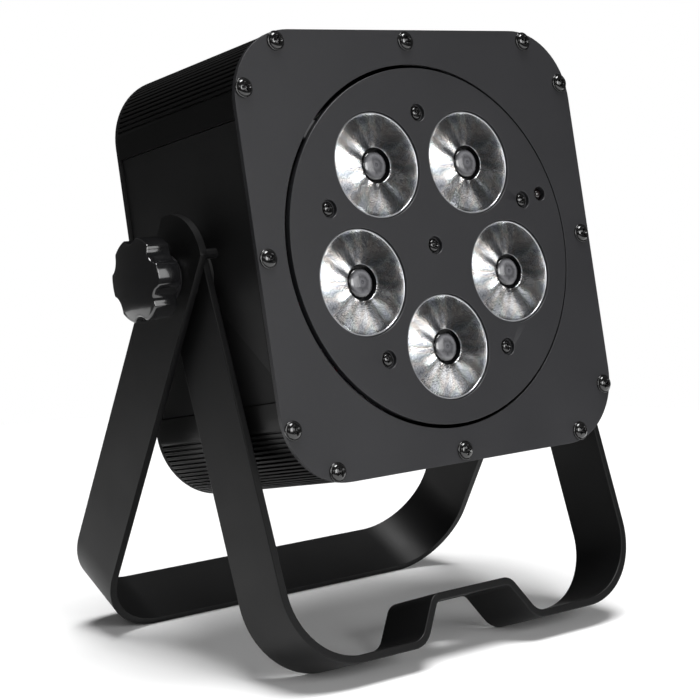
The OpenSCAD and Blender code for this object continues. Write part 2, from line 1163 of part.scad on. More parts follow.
front_plate();
plate_screws();
lens_disc();
disc_screws();
disc_tabs();
lens(1);  // lens_1
lens(2);  // lens_2
lens(3);  // lens_3
lens(4);  // lens_4
lens(5);  // lens_5
lens_holder(1);  // lens_holder_1
lens_holder(2);  // lens_holder_2
lens_holder(3);  // lens_holder_3
lens_holder(4);  // lens_holder_4
lens_holder(5);  // lens_holder_5
led_emitters();
led_board();
heat_sink();
standoffs();
ir_receiver();
led_wires();
top_shell();
bottom_shell();
side_panel_left();
side_panel_right();
rear_panel();
rear_screws();
pivot_nut_left();
pivot_nut_right();
power_board();
power_transformer();
power_capacitors();
control_board();
display_module();
display_window();
button_switches();
button(1);  // button_1
button(2);  // button_2
button(3);  // button_3
button(4);  // button_4
dmx_input();
dmx_input_pins();
dmx_output();
dmx_latch();
connector_screws();
power_inlet();
inlet_blades();
fuse_drawer();
safety_eye();
liner_washers();
spacer_washers();
front_bracket();
rear_bracket();
stop_pins();
knob_washer_left();
knob_washer_right();
knob_left();
knob_right();
stud_left();
stud_right();
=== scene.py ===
import json
import math
import bmesh
import bpy
from mathutils import Matrix, Vector


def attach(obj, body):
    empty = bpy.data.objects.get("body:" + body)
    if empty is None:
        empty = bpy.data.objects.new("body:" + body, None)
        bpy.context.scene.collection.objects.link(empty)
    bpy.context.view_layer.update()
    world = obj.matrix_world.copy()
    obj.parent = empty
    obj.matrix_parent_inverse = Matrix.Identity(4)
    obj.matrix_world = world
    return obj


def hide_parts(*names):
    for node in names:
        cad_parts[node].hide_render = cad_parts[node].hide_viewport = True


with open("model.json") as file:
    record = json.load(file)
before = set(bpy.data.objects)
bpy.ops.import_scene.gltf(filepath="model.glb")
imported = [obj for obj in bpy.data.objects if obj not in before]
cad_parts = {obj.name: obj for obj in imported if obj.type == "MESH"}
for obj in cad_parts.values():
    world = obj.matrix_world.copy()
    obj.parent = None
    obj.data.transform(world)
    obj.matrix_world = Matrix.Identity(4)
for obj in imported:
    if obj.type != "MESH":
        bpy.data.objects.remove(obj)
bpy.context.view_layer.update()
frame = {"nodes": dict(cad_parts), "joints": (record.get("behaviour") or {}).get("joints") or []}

# Sizes in metres, as the CAD model has them
MM = 0.001
HEAD_TILT = math.radians(-11.3)
PIVOT_RISE = 0.3 * MM
FRONT_Y = -45 * MM
DISC_Y = -45.5 * MM
DISC_TURN = -0.8
LENS_RING_R = 42.1 * MM
LENS_D = 44 * MM
LENS_RECESS = 0.8 * MM
LENS_WELL_R = 7.4 * MM
LENS_WELL_DEEP = 5 * MM
PLATE_HALF = 90 * MM
SCREW_EDGE = 4.7 * MM
SCREW_SPREAD = 66.8 * MM
DISC_SCREW_RING_R = 55.3 * MM
COUNTERBORE_H = 1.9 * MM
KNOB_X = 103.3 * MM
KNOB_LOBES = 6

# One fifth of a turn, and the angles of the first lens and the first disc screw, in degrees
FIFTH = 72
FIRST_LENS = 126
FIRST_SCREW = 18

# Screws: the head's diameter and height, the shank's diameter and length
PLATE_SCREW = (8 * MM, 2.4 * MM, 3.8 * MM, 10 * MM)
REAR_SCREW = (6.4 * MM, 1.2 * MM, 3.8 * MM, 10 * MM)
DISC_SCREW = (6 * MM, 1.9 * MM, 2.8 * MM, 9 * MM)
FITTING_SCREW = (5 * MM, 1.8 * MM, 2.7 * MM, 6 * MM)

# Middles of the rear fittings, seen from the front, and how far their screws are from them
FITTING_T = 1.5 * MM
SOCKET_SPOTS = ((-30 * MM, -10 * MM), (30 * MM, -10 * MM))
SOCKET_SCREW = (9.5 * MM, 12 * MM)
INLET_SPOT = (-34 * MM, -54 * MM)
INLET_SCREW_X = 20 * MM
EYE_SPOT = (0, 74 * MM)
EYE_SCREW_X = 17 * MM

# The studio: what the lamps point at, and the world's light compared with the white that the camera sees
AIM = Vector((0, 0, 0.14))
WORLD_LIGHT = 0.06
FLOOR_R = 0.62

pivot = Vector(next(j for j in frame["joints"] if j["name"] == "head_tilt")["pos_m"])
HEAD = Matrix.Translation(pivot) @ Matrix.Rotation(HEAD_TILT, 4, "X")
HEAD = HEAD @ Matrix.Translation((0, 0, -PIVOT_RISE))


# ---------- camera, light and floor ----------

def add_camera():
    """The camera that was fitted to the photo: its place and its own three directions."""
    place = Vector((-0.5256, -0.6548, 0.2275))
    right = Vector((0.7788, -0.6269, -0.0214))
    up = Vector((0.0959, 0.0853, 0.9917))
    back = -Vector((0.6199, 0.7744, -0.1266))
    data = bpy.data.cameras.new("camera")
    data.sensor_width = 36
    data.lens = 99.58
    camera = bpy.data.objects.new("camera", data)
    bpy.context.scene.collection.objects.link(camera)
    turn = Matrix((right, up, back)).transposed().to_4x4()
    camera.matrix_world = Matrix.Translation(place) @ turn
    bpy.context.scene.camera = camera


def add_area_light(name, place, size, power):
    """A soft box at place; size is its width and height, and power is in watts."""
    data = bpy.data.lights.new(name, "AREA")
    data.shape = "RECTANGLE"
    data.size, data.size_y = size
    data.energy = power
    lamp = bpy.data.objects.new(name, data)
    bpy.context.scene.collection.objects.link(lamp)
    lamp.location = place
    lamp.rotation_euler = (AIM - Vector(place)).to_track_quat("-Z", "Y").to_euler()


def add_sun(name, towards, strength, softness):
    """An even overhead light; softness is its width in the sky, in degrees."""
    data = bpy.data.lights.new(name, "SUN")
    data.energy = strength
    data.angle = math.radians(softness)
    lamp = bpy.data.objects.new(name, data)
    bpy.context.scene.collection.objects.link(lamp)
    lamp.rotation_euler = Vector(towards).to_track_quat("Z", "Y").to_euler()


def add_floor():
    """A pale round floor with a sloping edge."""
    edge_drop = 2 * MM
    bm = bmesh.new()
    lathe(bm, [(0, 0), (FLOOR_R * 0.98, 0), (FLOOR_R, -edge_drop)], 128)
    mesh = bpy.data.meshes.new("floor")
    bm.to_mesh(mesh)
    bm.free()
    floor = bpy.data.objects.new("floor", mesh)
    bpy.context.scene.collection.objects.link(floor)
    mesh.materials.append(
        coating("floor_white", (0.93, 0.93, 0.93), 0.8, spread=0.01, cloud=3, grain=200, depth=0.02))


def add_world():
    """White to the eye, and a dimmer white as light."""
    world = bpy.data.worlds.new("studio")
    world.use_nodes = True
    nodes = world.node_tree.nodes
    background = nodes["Background"]
    background.inputs["Color"].default_value = (1, 1, 1, 1)
    seen = nodes.new("ShaderNodeMapRange")
    seen.inputs["To Min"].default_value = WORLD_LIGHT
    seen.inputs["To Max"].default_value = 1.0
    world.node_tree.links.new(nodes.new("ShaderNodeLightPath").outputs["Is Camera Ray"], seen.inputs["Value"])
    world.node_tree.links.new(seen.outputs["Result"], background.inputs["Strength"])
    bpy.context.scene.world = world
    bpy.context.scene.view_settings.view_transform = "Standard"


# ---------- materials ----------

class Finish:
    """A Principled material that is built node by node."""

    def __init__(self, name):
        self.material = bpy.data.materials.new(name)
        self.material.use_nodes = True
        self.nodes = self.material.node_tree.nodes
        self.links = self.material.node_tree.links
        self.shader = self.nodes["Principled BSDF"]
        self.place = self.nodes.new("ShaderNodeTexCoord").outputs["Object"]
        self.bump_height = None

    def link(self, output, node, socket):
        self.links.new(output, node.inputs[socket])

    def noise(self, scale, detail, rough=0.5, place=None):
        node = self.nodes.new("ShaderNodeTexNoise")
        node.inputs["Scale"].default_value = scale
        node.inputs["Detail"].default_value = detail
        node.inputs["Roughness"].default_value = rough
        self.link(place or self.place, node, "Vector")
        return node.outputs["Fac"]

    def math(self, operation, a, b):
        """One calculation, where a is an output and b an output or a number."""
        node = self.nodes.new("ShaderNodeMath")
        node.operation = operation
        self.links.new(a, node.inputs[0])
        if isinstance(b, (int, float)):
            node.inputs[1].default_value = b
        else:
            self.links.new(b, node.inputs[1])
        return node.outputs[0]

    def ramp(self, value, low, high, a, b):
        """Value from low to high, turned into a to b."""
        node = self.nodes.new("ShaderNodeMapRange")
        node.inputs["From Min"].default_value = low
        node.inputs["From Max"].default_value = high
        node.inputs["To Min"].default_value = a
        node.inputs["To Max"].default_value = b
        self.link(value, node, "Value")
        return node.outputs["Result"]

    def mix(self, factor, a, b):
        """Colour a where factor is 0 and colour b where it's 1."""
        node = self.nodes.new("ShaderNodeMix")
        node.data_type = "RGBA"
        for socket, value in (("A", a), ("B", b)):
            target = [s for s in node.inputs if s.name == socket and s.type == "RGBA"][0]
            if isinstance(value, tuple):
                target.default_value = (*value, 1)
            else:
                self.links.new(value, target)
        self.links.new(factor, node.inputs[0])
        return [s for s in node.outputs if s.type == "RGBA"][0]

    def bump(self, height, distance, strength=1.0):
        """Adds one layer of height to the layers before it."""
        node = self.nodes.new("ShaderNodeBump")
        node.inputs["Distance"].default_value = distance
        node.inputs["Strength"].default_value = strength
        self.link(height, node, "Height")
        if self.bump_height:
            self.link(self.bump_height, node, "Normal")
        self.bump_height = node.outputs["Normal"]
        self.link(self.bump_height, self.shader, "Normal")

    def colour(self, output):
        self.link(output, self.shader, "Base Color")

    def rough(self, output):
        self.link(output, self.shader, "Roughness")


def shade(colour, factor):
    """The colour made lighter or darker."""
    return tuple(min(1, c * factor) for c in colour)


def coating(name, colour, rough, metallic=0.0, spread=0.15, cloud=60, grain=2500, depth=0.05,
            coat=0.0, specular=0.5, speck=0.0):
    """Paint or moulded plastic: cloudy colour and roughness, with a fine grain.

    Cloud and grain are noise scales, spread is how much the colour varies, depth is the grain's height in mm,
    and speck is how strongly the grain's tops are lighter.
    """
    finish = Finish(name)
    shader = finish.shader
    shader.inputs["Metallic"].default_value = metallic
    shader.inputs["Specular IOR Level"].default_value = specular
    shader.inputs["Coat Weight"].default_value = coat
    shader.inputs["Coat Roughness"].default_value = 0.06
    clouds = finish.noise(cloud, 3)
    fine = finish.noise(grain, 2, 0.6)
    share = finish.ramp(clouds, 0.3, 0.7, 0, 1)
    base = finish.mix(share, shade(colour, 1 - spread), shade(colour, 1 + spread))
    if speck:
        base = finish.mix(finish.ramp(fine, 0.45, 0.75, 0, speck), base, shade(colour, 2.6))
    finish.colour(base)
    finish.rough(finish.ramp(clouds, 0.3, 0.7, rough * 0.92, min(1, rough * 1.08)))
    finish.bump(fine, depth * MM)
    return finish.material


def brushed(name, colour, rough):
    """Drawn or turned metal with fine lines across its height."""
    stretch = (1, 1, 40)
    finish = Finish(name)
    mapping = finish.nodes.new("ShaderNodeMapping")
    mapping.inputs["Scale"].default_value = stretch
    finish.link(finish.place, mapping, "Vector")
    lines = finish.noise(400, 2, 0.5, mapping.outputs["Vector"])
    finish.shader.inputs["Metallic"].default_value = 1.0
    finish.colour(finish.mix(finish.ramp(lines, 0.3, 0.7, 0, 1), shade(colour, 0.8), shade(colour, 1.1)))
    finish.rough(finish.ramp(lines, 0.3, 0.7, rough * 0.8, rough * 1.2))
    finish.bump(lines, 0.02 * MM)
    return finish.material


def multiplied(finish, factor, a, b):
    """Colour a times colour b, where factor is how strongly b counts."""
    node = finish.nodes.new("ShaderNodeMix")
    node.data_type = "RGBA"
    node.blend_type = "MULTIPLY"
    node.inputs[0].default_value = factor
    colours = [s for s in node.inputs if s.type == "RGBA"]
    finish.links.new(a, colours[0])
    finish.links.new(b, colours[1])
    return [s for s in node.outputs if s.type == "RGBA"][0]


def colour_stops(finish, value, stops):
    """A colour ramp over value, from a list of (place, colour)."""
    node = finish.nodes.new("ShaderNodeValToRGB")
    ramp = node.color_ramp.elements
    while len(ramp) < len(stops):
        ramp.new(0.5)
    for element, (place, colour) in zip(ramp, stops):
        element.position = place
        element.color = (*colour, 1)
    finish.link(value, node, "Fac")
    return node.outputs["Color"]


def lens_silver():
    """The mirror inside a lens, seen through its flat clear face: beads, soft spokes and faint colours."""
    white = (1.0, 1.0, 1.0)
    slope = -0.2
    roundness = -3.2
    finish = Finish("lens_silver")
    split = finish.nodes.new("ShaderNodeSeparateXYZ")
    finish.link(finish.place, split, "Vector")
    flat = finish.nodes.new("ShaderNodeVectorMath")
    flat.operation = "MULTIPLY"
    flat.inputs[1].default_value = (1, 1, 0)
    finish.link(finish.place, flat, 0)
    reach = finish.nodes.new("ShaderNodeVectorMath")
    reach.operation = "LENGTH"
    finish.link(flat.outputs["Vector"], reach, 0)
    radius = reach.outputs["Value"]
    turn = finish.math("ARCTAN2", split.outputs["Y"], split.outputs["X"])
    around = finish.nodes.new("ShaderNodeCombineXYZ")
    finish.link(turn, around, "X")
    finish.link(finish.math("MULTIPLY", radius, 25), around, "Y")
    # Noise over the turn and the distance from the middle gives spokes
    spokes = finish.noise(2.2, 1, 0.5, around.outputs["Vector"])
    streaks = finish.noise(2.4, 0, 0.5, around.outputs["Vector"])
    hue = finish.noise(2.6, 2, 0.5, around.outputs["Vector"])
    beads = finish.nodes.new("ShaderNodeTexVoronoi")
    beads.inputs["Scale"].default_value = 2300
    finish.link(finish.place, beads, "Vector")
    patches = finish.noise(60, 0, 0.45)
    finish.shader.inputs["Metallic"].default_value = 1.0
    base = finish.mix(finish.ramp(spokes, 0.42, 0.58, 0, 1), (0.5, 0.51, 0.53), white)
    base = multiplied(finish, 1.0, base, colour_stops(finish, patches, [
        (0.4, (0.55, 0.56, 0.58)), (0.55, white)]))
    base = multiplied(finish, 0.5, base, colour_stops(finish, hue, [
        (0.36, (0.85, 0.9, 1.0)), (0.44, (0.9, 1.0, 0.9)), (0.5, (1.0, 0.84, 0.7)), (0.56, white)]))
    base = multiplied(finish, 0.85, base, colour_stops(finish, beads.outputs["Distance"], [
        (0.36, white), (0.62, (0.38, 0.39, 0.42))]))
    finish.colour(base)
    finish.rough(finish.ramp(patches, 0.3, 0.7, 0.3, 0.24))
    finish.shader.inputs["Coat Weight"].default_value = 0.6
    finish.shader.inputs["Coat Roughness"].default_value = 0.1
    # Height falls away from the middle, so that the face reflects as a cone with a rounded side does
    square = finish.math("MULTIPLY", finish.math("MULTIPLY", radius, radius), roundness)
    finish.bump(finish.math("ADD", square, finish.math("MULTIPLY", radius, slope)), 1.0)
    finish.bump(streaks, 1.8 * MM, 0.6)
    finish.bump(patches, 3 * MM, 0.4)
    finish.bump(beads.outputs["Distance"], 0.08 * MM, 0.5)
    return finish.material


def dome_with_painted_light():
    """The dome in a lens: grey rings of the emitter seen through clear plastic, with a coat over it, and
    painted light: a lighter middle as a painted highlight and a darkening to near black at the rim as painted
    shade.
    """
    finish = Finish("lens_dome")
    ring_r = 6.4 * MM
    waviness = 0.24
    shader = finish.shader
    shader.inputs["Coat Weight"].default_value = 1.0
    shader.inputs["Coat Roughness"].default_value = 0.04
    swirl = finish.noise(330, 3, 0.6)
    reach = finish.nodes.new("ShaderNodeVectorMath")
    reach.operation = "LENGTH"
    flat = finish.nodes.new("ShaderNodeVectorMath")
    flat.operation = "MULTIPLY"
    flat.inputs[1].default_value = (1 / ring_r, 1 / ring_r, 0)
    finish.link(finish.place, flat, 0)
    finish.link(flat.outputs["Vector"], reach, 0)
    wavy = finish.nodes.new("ShaderNodeMath")
    wavy.operation = "MULTIPLY_ADD"
    finish.link(swirl, wavy, 0)
    wavy.inputs[1].default_value = waviness
    finish.link(reach.outputs["Value"], wavy, 2)
    # Colour by distance from the middle: the light middle is a painted highlight, the rings between stand for
    # the emitter seen through the plastic, and the fall to near black at the rim is painted shade.
    rings = colour_stops(finish, wavy.outputs[0], [
        (0.12, (0.25, 0.25, 0.27)), (0.19, (0.03, 0.03, 0.035)), (0.3, (0.12, 0.12, 0.13)),
        (0.5, (0.06, 0.06, 0.065)), (0.78, (0.16, 0.16, 0.17)), (0.95, (0.05, 0.05, 0.055)),
        (1.05, (0.012, 0.012, 0.013))])
    finish.colour(rings)
    finish.rough(finish.ramp(swirl, 0.3, 0.7, 0.22, 0.36))
    finish.bump(swirl, 0.08 * MM, 0.4)
    return finish.material


# ---------- mesh helpers ----------

def add_piece(name, bm, material, place, body, *nodes, slot, smooth):
    """Makes an object of bm, in place, which rides on body and stands for the CAD nodes.

    Material is one material, or a list of them when the faces of bm have different ones. Edges sharper than
    smooth, in degrees, stay sharp.
    """
    bmesh.ops.recalc_face_normals(bm, faces=bm.faces[:])
    mesh = bpy.data.meshes.new(name)
    bm.to_mesh(mesh)
    bm.free()
    piece = bpy.data.objects.new(name, mesh)
    bpy.context.scene.collection.objects.link(piece)
    piece.matrix_world = place
    for entry in material if isinstance(material, (list, tuple)) else [material]:
        mesh.materials.append(entry)
    mesh.shade_smooth()
    mesh.set_sharp_from_angle(angle=math.radians(smooth))
    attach(piece, body)
    if nodes:
        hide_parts(*nodes)
    return piece


def lathe(bm, profile, segments, finish=0):
    """Turns a list of (radius, height) about Z. A radius of zero becomes one point."""
    steps = [2 * math.pi * k / segments for k in range(segments)]
    rings = []
    for radius, height in profile:
        if radius == 0:
            rings.append([bm.verts.new((0, 0, height))])
        else:
            rings.append([bm.verts.new((radius * math.cos(a), radius * math.sin(a), height)) for a in steps])
    for low, high in zip(rings, rings[1:]):
        for k in range(segments):
            n = (k + 1) % segments
            corners = [low[k % len(low)], low[n % len(low)], high[n % len(high)], high[k % len(high)]]
            unique = list(dict.fromkeys(corners))
            if len(unique) > 2:
                bm.faces.new(unique).material_index = finish


def arc(centre_r, centre_z, radius, start, end, steps):
    """Points of a round corner in a lathe profile, with angles in degrees."""
    angles = [math.radians(start + (end - start) * k / steps) for k in range(steps + 1)]
    return [(centre_r + radius * math.cos(a), centre_z + radius * math.sin(a)) for a in angles]


def softened(node, body, width, material, slot):
    """A CAD piece with its flat faces joined up and its sharp edges rounded."""
    sharp = 35
    bm = bmesh.new()
    bm.from_mesh(frame["nodes"][node].data)
    bmesh.ops.remove_doubles(bm, verts=bm.verts[:], dist=0.001 * MM)
    bmesh.ops.dissolve_limit(bm, angle_limit=math.radians(0.3), verts=bm.verts[:], edges=bm.edges[:])
    piece = add_piece(node + "_finish", bm, material, Matrix.Identity(4), body, node, slot=slot, smooth=sharp)
    bevel = piece.modifiers.new("rounded edges", "BEVEL")
    bevel.width = width
    bevel.segments = 2
    bevel.limit_method = "ANGLE"
    bevel.angle_limit = math.radians(sharp)
    bevel.use_clamp_overlap = True


def facing_front(y, spot):
    """Head place whose local Z points out of the front; spot is (x, z) seen from the front."""
    return HEAD @ Matrix.Translation((spot[0], y, spot[1])) @ Matrix.Rotation(math.radians(90), 4, "X")


def facing_rear(y, spot):
    """Head place whose local Z points out of the rear, with spot as for facing_front."""
    return HEAD @ Matrix.Translation((spot[0], y, spot[1])) @ Matrix.Rotation(math.radians(-90), 4, "X")


def polar(radius, degrees):
    a = math.radians(degrees)
    return (radius * math.cos(a), radius * math.sin(a))


def edge_screw_spots():
    """Three screws along each edge of a plate."""
    spots = []
    for quarter in range(4):
        for x in (-SCREW_SPREAD, 0, SCREW_SPREAD):
            place = Matrix.Rotation(math.radians(90 * quarter), 2) @ Vector((x, PLATE_HALF - SCREW_EDGE))
            spots.append((place.x, place.y))
    return spots


def disc_screw_spots():
    """One screw in the disc's middle and five around it."""
    return [(0, 0)] + [polar(DISC_SCREW_RING_R, DISC_TURN + FIRST_SCREW + FIFTH * n) for n in range(5)]


def fitting_screw_spots():
    """Two screws at each of the sockets, at the mains inlet and at the safety eye."""
    x, z = SOCKET_SCREW
    spots = [(spot[0] - side * x, spot[1] + side * z) for spot in SOCKET_SPOTS for side in (-1, 1)]
    spots += [(INLET_SPOT[0] + side * INLET_SCREW_X, INLET_SPOT[1]) for side in (-1, 1)]
    spots += [(EYE_SPOT[0] + side * EYE_SCREW_X, EYE_SPOT[1]) for side in (-1, 1)]
    return spots


def paint(node, material):
    """Gives a CAD piece that is carried over as it is its material."""
    surface = frame["nodes"][node].data.materials
    surface.clear()
    surface.append(material)


# ---------- screws ----------

def screw_mesh(diameter, height):
    """A pan head with a flat rim, a domed top and a cross recess, local Z outwards."""
    r = diameter / 2
    rim = height * 0.3
    dome_r = r * 0.86
    rise = height - rim
    edge_r = 0.25 * MM
    sink = 0.2 * MM
    bm = bmesh.new()
    profile = [(0, -sink), (r - 0.1 * MM, -sink)]
    profile += arc(r - edge_r, rim - edge_r, edge_r, 0, 90, 4)
    profile += [(dome_r + 0.12 * MM, rim)]
    profile += [(dome_r * math.cos(a), rim + rise * math.sin(a) ** 0.85)
                for a in [math.radians(90 * k / 9) for k in range(9)]]
    profile += [(0, height)]
    lathe(bm, profile, 40)
    bmesh.ops.recalc_face_normals(bm, faces=bm.faces[:])
    head = mesh_object("screw_head", bm)
    arm_l = diameter * 0.29
    arm_w = diameter * 0.065
    deep = height * 0.62
    cutter = bmesh.new()
    for turned in (False, True):
        corners = []
        for z, grow in ((height - deep, 0.45), (height + 0.2 * MM, 1.12)):
            for sx, sy in ((-1, -1), (1, -1), (1, 1), (-1, 1)):
                x = sx * arm_l * grow
                y = sy * arm_w
                corners.append(cutter.verts.new((-y, x, z) if turned else (x, y, z)))
        for face in ((3, 2, 1, 0), (4, 5, 6, 7), (0, 1, 5, 4), (1, 2, 6, 5), (2, 3, 7, 6), (3, 0, 4, 7)):
            cutter.faces.new([corners[i] for i in face])
    bmesh.ops.recalc_face_normals(cutter, faces=cutter.faces[:])
    blade = mesh_object("screw_cutter", cutter)
    cut = head.modifiers.new("cross", "BOOLEAN")
    cut.operation = "DIFFERENCE"
    cut.solver = "EXACT"
    cut.use_self = True
    cut.object = blade
    bevel = head.modifiers.new("edges", "BEVEL")
    bevel.width = 0.06 * MM
    bevel.segments = 1
    bevel.limit_method = "ANGLE"
    bevel.angle_limit = math.radians(40)
    bpy.context.view_layer.update()
    result = bpy.data.meshes.new_from_object(head.evaluated_get(bpy.context.evaluated_depsgraph_get()))
    bpy.data.objects.remove(head)
    bpy.data.objects.remove(blade)
    return result


def mesh_object(name, bm):
    """A scratch object, for a step that needs modifiers."""
    mesh = bpy.data.meshes.new(name)
    bm.to_mesh(mesh)
    bm.free()
    scratch = bpy.data.objects.new(name, mesh)
    bpy.context.scene.collection.objects.link(scratch)
    return scratch


def add_screws(name, node, places, kind):
    """Screws at head places, as one piece. Each has its own turn."""
    diameter, height, shank_d, shank_l = kind
    turn_between = 37
    head = screw_mesh(diameter, height)
    bm = bmesh.new()
    for k, place in enumerate(places):
        turned = place @ Matrix.Rotation(math.radians(turn_between * k % 90), 4, "Z")
        part = bmesh.new()
        part.from_mesh(head)
        lathe(part, [(0, -shank_l), (shank_d / 2, -shank_l), (shank_d / 2, -0.1 * MM)], 16)
        part.transform(turned)
        scratch = bpy.data.meshes.new("screw")
        part.to_mesh(scratch)
        part.free()
        bm.from_mesh(scratch)
        bpy.data.meshes.remove(scratch)
    bpy.data.meshes.remove(head)
    add_piece(name, bm, screw_black, Matrix.Identity(4), "head", node, slot="screw_black", smooth=38)


# ---------- lenses ----------

def add_lens(number, silver, black, dome, rim):
    """The flat face, clear rim, well and dome of one lens."""
    spot = polar(LENS_RING_R, DISC_TURN + FIRST_LENS - FIFTH * (number - 1))
    place = facing_front(DISC_Y + LENS_RECESS, spot)
    rim_r = LENS_D / 2 - 0.25 * MM
    rim_low = -2.5 * MM
    rim_round = 0.35 * MM
    bowl_r = rim_r - 0.7 * MM
    face_z = -0.45 * MM
    well_round = 0.25 * MM
    dome_r = 6.15 * MM
    foot_r = dome_r - 0.3 * MM
    edge_z = -2.0 * MM
    crown_h = 1.7 * MM
    bm = bmesh.new()
    edge = arc(rim_r - rim_round, -rim_round, rim_round, 0, 180, 6)
    lathe(bm, [(rim_r, rim_low)] + edge + [(bowl_r, -0.5 * MM)], 96, finish=3)
    face = [(bowl_r, -0.3 * MM), (bowl_r - 0.5 * MM, face_z)]
    face += [(LENS_WELL_R + (bowl_r - LENS_WELL_R) * k / 8, face_z) for k in range(7, 0, -1)]
    face += arc(LENS_WELL_R + well_round, face_z - well_round, well_round, 90, 180, 3)
    lathe(bm, face, 96, finish=0)
    well = [(LENS_WELL_R, face_z - well_round), (LENS_WELL_R, -LENS_WELL_DEEP), (foot_r, -LENS_WELL_DEEP)]
    lathe(bm, well, 64, finish=1)
    cap = [(foot_r, -LENS_WELL_DEEP), (dome_r, -LENS_WELL_DEEP), (dome_r, edge_z - 0.3 * MM)]
    cap += [(dome_r * math.cos(a) ** 0.8, edge_z + crown_h * math.sin(a))
            for a in [math.radians(90 * k / 14) for k in range(1, 14)]]
    lathe(bm, cap + [(0, edge_z + crown_h)], 64, finish=2)
    bmesh.ops.remove_doubles(bm, verts=bm.verts[:], dist=0.002 * MM)
    add_piece("lens_optic_%d" % number, bm, [silver, black, dome, rim], place, "head", "lens_%d" % number,
              slot="lens_clear", smooth=50)


# ---------- knobs ----------

def knob_outline(angle, radius):
    """Radius of the six lobed outline at one angle, with rounded lobe corners."""
    flute_r = 5.6 * MM
    ring_r = radius + 3 * MM
    step = 2 * math.pi / KNOB_LOBES
    off = angle % step - step / 2
    across = flute_r ** 2 - (ring_r * math.sin(off)) ** 2
    if across <= 0:
        return radius
    flute = ring_r * math.cos(off) - math.sqrt(across)
    blend = 0.35 * MM
    if flute - radius > blend:
        return radius
    h = max(0.0, min(1.0, 0.5 + 0.5 * (flute - radius) / blend))
    return flute * (1 - h) + radius * h - blend * h * (1 - h)


def add_knob(name, side, material):
    """A star knob: its neck, the lobes with rounded edges, and a slightly domed face."""
    radius = 17 * MM
    neck_r = 7.5 * MM
    neck_z = 4 * MM
    lobe_t = 10.5 * MM
    dome_h = 2 * MM
    low_round = 0.7 * MM
    top_round = 0.8 * MM
    stud_r = 4 * MM
    stud_deep = 8 * MM
    stud_base = 0.2 * MM
    neck_round = 0.3 * MM
    sphere_r = (radius ** 2 + dome_h ** 2) / (2 * dome_h)
    top = neck_z + lobe_t + dome_h
    count = 180
    bm = bmesh.new()
    angles = [2 * math.pi * k / count for k in range(count)]
    outline = [knob_outline(a + math.pi / KNOB_LOBES, radius) for a in angles]

    def crown(r):
        return top - sphere_r + math.sqrt(sphere_r ** 2 - r ** 2)

    rings = []

    def ring(radii, heights):
        spots = zip(angles, radii, heights)
        rings.append([bm.verts.new((r * math.cos(a), r * math.sin(a), z)) for a, r, z in spots])

    for r, z in ((stud_r, stud_deep), (stud_r, stud_base), (neck_r - neck_round, 0), (neck_r, neck_round),
                 (neck_r, neck_z - 0.5 * MM), (neck_r + 0.5 * MM, neck_z)):
        ring([r] * count, [z] * count)
    for k in range(5):
        a = math.radians(90 * k / 4)
        ring([r - low_round * (1 - math.sin(a)) for r in outline],
             [neck_z + low_round * (1 - math.cos(a))] * count)
    edge_z = [crown(r - top_round) - top_round for r in outline]
    for k in range(8):
        a = math.radians(90 * k / 7)
        ring([r - top_round * (1 - math.cos(a)) for r in outline],
             [z + top_round * math.sin(a) for z in edge_z])
    for share in (0.92, 0.82, 0.66, 0.5, 0.34, 0.18):
        radii = [(r - top_round) * share for r in outline]
        ring(radii, [crown(r) for r in radii])
    for low, high in zip(rings, rings[1:]):
        for k in range(count):
            n = (k + 1) % count
            bm.faces.new((low[k], low[n], high[n], high[k]))
    peak = bm.verts.new((0, 0, top))
    for k in range(count):
        bm.faces.new((rings[-1][k], rings[-1][(k + 1) % count], peak))
    place = HEAD @ Matrix.Translation((side * KNOB_X, 0, PIVOT_RISE))
    place = place @ Matrix.Rotation(side * math.radians(90), 4, "Y")
    add_piece(name + "_grip", bm, material, place, name, name, slot="knob_black", smooth=60)


# ---------- the light ----------

plate_coat = coating("plate_coat", (0.015, 0.015, 0.017), 0.42, spread=0.06, cloud=25, grain=3200,
                     depth=0.05, speck=0.25)
bracket_coat = coating("bracket_coat", (0.0028, 0.0028, 0.003), 0.46, specular=0.22, spread=0.08, cloud=40,
                       grain=3000, depth=0.03)
shell_coat = coating("shell_coat", (0.003, 0.003, 0.003), 0.36, specular=0.24, spread=0.12, cloud=50,
                     grain=2600, depth=0.02)
panel_coat = coating("panel_coat", (0.005, 0.005, 0.0052), 0.5, specular=0.3, spread=0.08, cloud=40,
                     grain=3000, depth=0.03)
screw_black = coating("screw_black", (0.005, 0.005, 0.005), 0.16, spread=0.3, cloud=600, grain=4000,
                      depth=0.01, coat=0.6)
knob_black = coating("knob_black", (0.006, 0.006, 0.0065), 0.14, spread=0.2, cloud=120, grain=500,
                     depth=0.008, coat=1.0)
moulded = coating("moulded_black", (0.02, 0.02, 0.021), 0.42, spread=0.1, cloud=150, grain=2400, depth=0.03)
rubber = coating("rubber_black", (0.012, 0.012, 0.012), 0.7, spread=0.2, cloud=200, grain=2000, depth=0.04)
board_green = coating("board_green", (0.03, 0.16, 0.07), 0.35, spread=0.15, cloud=300, grain=1500,
                      depth=0.05, coat=0.4)
board_white = coating("board_white", (0.8, 0.8, 0.77), 0.4, spread=0.04, cloud=300, grain=1500, depth=0.03)
component = coating("component", (0.05, 0.05, 0.06), 0.4, spread=0.2, cloud=300, grain=1800, depth=0.05)
wire = coating("wire", (0.35, 0.03, 0.03), 0.35, spread=0.15, cloud=300, grain=1800, depth=0.02)
emitter = coating("emitter", (0.85, 0.78, 0.35), 0.3, spread=0.1, cloud=900, grain=1800, depth=0.02)
ir_dark = coating("ir_dark", (0.01, 0.006, 0.006), 0.12, spread=0.2, cloud=900, grain=1500, depth=0.01,
                  coat=1.0)
display_tint = coating("display_tint", (0.03, 0.006, 0.006), 0.12, spread=0.15, cloud=200, grain=1500,
                       depth=0.005, coat=1.0)
